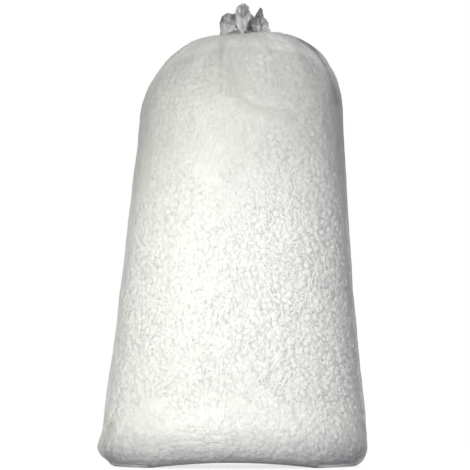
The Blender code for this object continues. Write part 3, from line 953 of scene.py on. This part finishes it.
def floor_material():
    """A pale floor that keeps the sack's shadow near it and is white further off."""
    n = Nodes("pale_floor")
    n.set(Base_Color=(0.42, 0.42, 0.43, 1.0), Roughness=0.7, Specular_IOR_Level=0.1)
    place = n.add("ShaderNodeNewGeometry").outputs["Position"]
    away = n.add("ShaderNodeVectorMath", {0: place}, operation="LENGTH").outputs["Value"]
    far = n.ramp(n.math("DIVIDE", away, 4.0), (0.18, (0, 0, 0)), (0.5, (1, 1, 1)))
    glow = n.add("ShaderNodeEmission", {"Color": (1, 1, 1, 1), "Strength": 0.74}).outputs[0]
    white = n.add("ShaderNodeEmission", {"Color": (1, 1, 1, 1), "Strength": 1.0}).outputs[0]
    own = n.shader.outputs["BSDF"]
    lit = n.add("ShaderNodeAddShader", {0: own, 1: glow}).outputs[0]
    near = n.add("ShaderNodeMixShader", {0: far, 1: lit, 2: white}).outputs[0]
    seen = n.add("ShaderNodeLightPath").outputs
    direct = n.math("MAXIMUM", seen["Is Camera Ray"], seen["Is Transmission Ray"])
    direct = n.math("MAXIMUM", direct, seen["Is Glossy Ray"])
    shown = n.add("ShaderNodeMixShader", {0: direct, 1: own, 2: near}).outputs[0]
    n.tree.links.new(shown, n.tree.nodes["Material Output"].inputs["Surface"])
    return n.material


# Stage


def build_camera():
    data = bpy.data.cameras.new("view_camera")
    camera = bpy.data.objects.new("view_camera", data)
    bpy.context.scene.collection.objects.link(camera)
    span = PIXEL * PICTURE
    place = Vector((VIEW_CENTRE.x, -VIEW_DISTANCE, CAMERA_HEIGHT))
    camera.location = place
    camera.rotation_euler = (VIEW_CENTRE - place).to_track_quat("-Z", "Y").to_euler()
    data.sensor_width = SENSOR
    data.lens = SENSOR * (VIEW_CENTRE - place).length / span
    data.clip_end = 100.0
    bpy.context.scene.camera = camera


def area_light(name, place, aim, size, power, colour, shines):
    data = bpy.data.lights.new(name, "AREA")
    data.shape = "RECTANGLE"
    data.size = data.size_y = size
    data.energy = power
    data.color = colour
    lamp = bpy.data.objects.new(name, data)
    lamp.visible_camera = False
    lamp.visible_glossy = shines
    lamp.location = place
    lamp.rotation_euler = (Vector(aim) - Vector(place)).to_track_quat("-Z", "Y").to_euler()
    bpy.context.scene.collection.objects.link(lamp)


def build_world():
    """Soft light all round, which the camera and shiny surfaces see as plain white."""
    world = bpy.data.worlds.new("studio")
    bpy.context.scene.world = world
    world.use_nodes = True
    nodes, links = world.node_tree.nodes, world.node_tree.links
    soft = nodes["Background"]
    soft.inputs["Color"].default_value = (0.95, 0.94, 1.0, 1.0)
    soft.inputs["Strength"].default_value = WORLD_LIGHT
    white = nodes.new("ShaderNodeBackground")
    white.inputs["Color"].default_value = (1.0, 1.0, 1.0, 1.0)
    white.inputs["Strength"].default_value = 1.0
    rays = nodes.new("ShaderNodeLightPath")
    direct = rays.outputs["Is Camera Ray"]
    for kind in ("Is Transmission Ray", "Is Glossy Ray"):
        either = nodes.new("ShaderNodeMath")
        either.operation = "MAXIMUM"
        links.new(direct, either.inputs[0])
        links.new(rays.outputs[kind], either.inputs[1])
        direct = either.outputs["Value"]
    mix = nodes.new("ShaderNodeMixShader")
    links.new(direct, mix.inputs[0])
    links.new(soft.outputs["Background"], mix.inputs[1])
    links.new(white.outputs["Background"], mix.inputs[2])
    links.new(mix.outputs["Shader"], nodes["World Output"].inputs["Surface"])


def build_stage():
    corners = [(-1, -1), (1, -1), (1, 1), (-1, 1)]
    points = [(x * FLOOR_SIZE, y * FLOOR_SIZE, 0) for x, y in corners]
    floor = mesh_object("floor", points, [(0, 1, 2, 3)], False)
    floor.data.materials.append(floor_material())
    for lamp in LAMPS:
        area_light(*lamp)
    build_world()


def dress_fill(fill, tree, foam):
    """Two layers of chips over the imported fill's surface, and the heap behind them."""
    rng = np.random.default_rng(SEED)
    outer = spread_points(fill, CHIP_SPACING, rng)
    inner = spread_points(fill, UNDER_SPACING, rng)
    laid = lay_chips(outer, tree, CHIP_PROUD, chip_shapes(CHIP_STEPS), rng)
    laid += lay_chips(inner, tree, -UNDER_DEPTH, chip_shapes(UNDER_STEPS), rng)
    pieces = chip_pieces(laid)
    for piece in pieces:
        piece.data.materials.append(foam)
    core = core_piece(fill, tree)
    core.data.materials.append(core_material())
    for piece in [*pieces, core]:
        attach(piece, "root")
        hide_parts("peanut_fill")


def main():
    scene = bpy.context.scene
    scene.view_settings.view_transform = "Standard"
    build_camera()
    build_stage()

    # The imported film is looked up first, while it still shows
    nodes = frame["nodes"]
    tree = BVHTree.FromObject(nodes["film_bag"], bpy.context.evaluated_depsgraph_get())
    film = film_piece()
    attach(film, "root")
    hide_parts("film_bag")

    foam = foam_material()
    dress_fill(nodes["peanut_fill"], tree, foam)
    for name, node in nodes.items():
        if name.startswith("loose_peanut"):
            for slot in node.material_slots:
                slot.material = foam


main()
